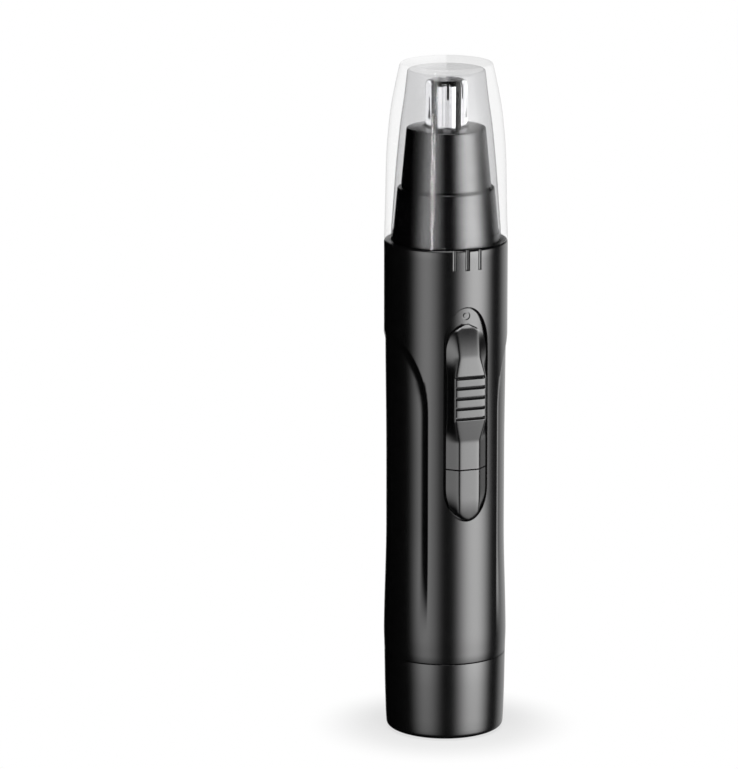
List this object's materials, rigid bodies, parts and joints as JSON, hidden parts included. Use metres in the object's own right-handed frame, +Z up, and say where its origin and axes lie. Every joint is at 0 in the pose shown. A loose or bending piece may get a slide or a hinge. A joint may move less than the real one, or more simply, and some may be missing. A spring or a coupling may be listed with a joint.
{
  "type": "nose hair trimmer",
  "caption": "Slim battery nose hair trimmer with a slotted steel head, a sliding switch, a twist-off battery cap and a clear protective cap.",
  "frame": {"origin": "centre of the flat base, on the body's axis", "axes": "+Z up along the body to the cutting head; the switch faces -Y"},
  "size_m": [0.026, 0.028, 0.1435],
  "materials": {
    "black_plastic": "satin gloss, moulded",
    "clear_plastic": "clear, polished",
    "polished_steel": "polished",
    "plain_steel": "plain",
    "nickel_sheet": "nickel plated",
    "bronze": "spring bronze",
    "copper": "bare copper",
    "ferrite": "matt",
    "seal_rubber": "matt",
    "inner_plastic": "natural",
    "dark_inner_plastic": "natural black",
    "cell_jacket": "plain printed sleeve without marks"
  },
  "bodies": {
    "handle": {"housing": "black_plastic", "collar": "black_plastic", "switch_bed": "black_plastic", "chassis": "inner_plastic", "battery_cell": "cell_jacket", "positive_contact": "nickel_sheet", "negative_strip": "nickel_sheet", "collar_screw_left": "plain_steel", "collar_screw_right": "plain_steel", "shaft_seal": "seal_rubber", "switch_contact_battery": "bronze", "switch_contact_motor": "bronze", "motor_can": "plain_steel", "motor_end_bell": "inner_plastic", "motor_front_bearing": "bronze", "motor_rear_bearing": "bronze", "motor_terminal_left": "nickel_sheet", "motor_terminal_right": "nickel_sheet", "brush_left": "copper", "brush_right": "copper", "magnet_left": "ferrite", "magnet_right": "ferrite"},
    "battery_cap": {"battery_cap": "black_plastic", "battery_cap_seal": "seal_rubber", "battery_cap_contact": "nickel_sheet", "battery_spring": "plain_steel"},
    "slider": {"switch_slider": "black_plastic", "slider_carriage": "dark_inner_plastic", "moving_contact": "bronze"},
    "rotor": {"motor_shaft": "polished_steel", "armature_core": "plain_steel", "armature_winding_1": "copper", "armature_winding_2": "copper", "armature_winding_3": "copper", "commutator": "copper", "drive_coupling": "dark_inner_plastic", "blade_carrier": "inner_plastic", "rotary_blade": "polished_steel", "blade_spring": "plain_steel"},
    "head": {"head_cone": "black_plastic", "head_bush": "inner_plastic", "head_seal": "seal_rubber", "cutter_guard": "polished_steel"},
    "cap": {"protective_cap": "clear_plastic"}
  },
  "joints": [
    {"name": "cap_lift", "type": "slide", "parent": "handle", "child": "cap", "axis": [0, 0, 1], "range_m": [0, 0.045]},
    {"name": "head_twist", "type": "hinge", "parent": "handle", "child": "head", "pos_m": [0, 0, 0.1175], "axis": [0, 0, 1], "range_deg": [0, 40]},
    {"name": "rotor_spin", "type": "hinge", "parent": "handle", "child": "rotor", "pos_m": [0, 0, 0.0885], "axis": [0, 0, 1], "continuous": true},
    {"name": "switch_slide", "type": "slide", "parent": "handle", "child": "slider", "axis": [0, 0, 1], "range_m": [0, 0.0028]},
    {"name": "battery_cap_twist", "type": "hinge", "parent": "handle", "child": "battery_cap", "pos_m": [0, 0, 0], "axis": [0, 0, 1], "range_deg": [0, 40]}
  ]
}
